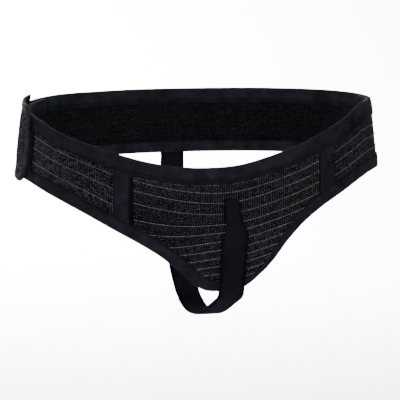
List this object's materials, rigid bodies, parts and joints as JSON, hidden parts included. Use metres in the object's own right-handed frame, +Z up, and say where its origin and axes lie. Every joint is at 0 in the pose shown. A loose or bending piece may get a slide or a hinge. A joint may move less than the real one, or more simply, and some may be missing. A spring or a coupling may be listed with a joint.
{
  "type": "hernia belt",
  "caption": "Brief-shaped groin support belt: knitted hip band with a front panel, bound edges, a hook-and-loop side closure and a crotch strap, in its worn shape.",
  "frame": {"origin": "middle of the wearer's hips inside the band, 42 mm below the top edge of the band at the back", "axes": "+Z up along the wearer's body, -Y the way the wearer faces, +X towards the wearer's left hip"},
  "size_m": [0.3515, 0.2481, 0.2136],
  "materials": {
    "knit": "open elastic knit with thin grey stripes",
    "binding": "smooth woven elastic edge binding",
    "tape": "smooth woven seam tape",
    "tab_loop": "short brushed loop cloth",
    "hook": "hook tape",
    "plush": "brushed loop webbing"
  },
  "bodies": {
    "root": {"front_panel": "knit", "right_side_band": "knit", "back_band": "knit", "top_binding": "binding", "bottom_binding": "binding", "right_seam_tape": "tape", "left_seam_tape": "tape", "closure_tab": "tab_loop", "closure_rim": "binding", "closure_hook": "hook", "crotch_strap": "plush"}
  },
  "joints": []
}
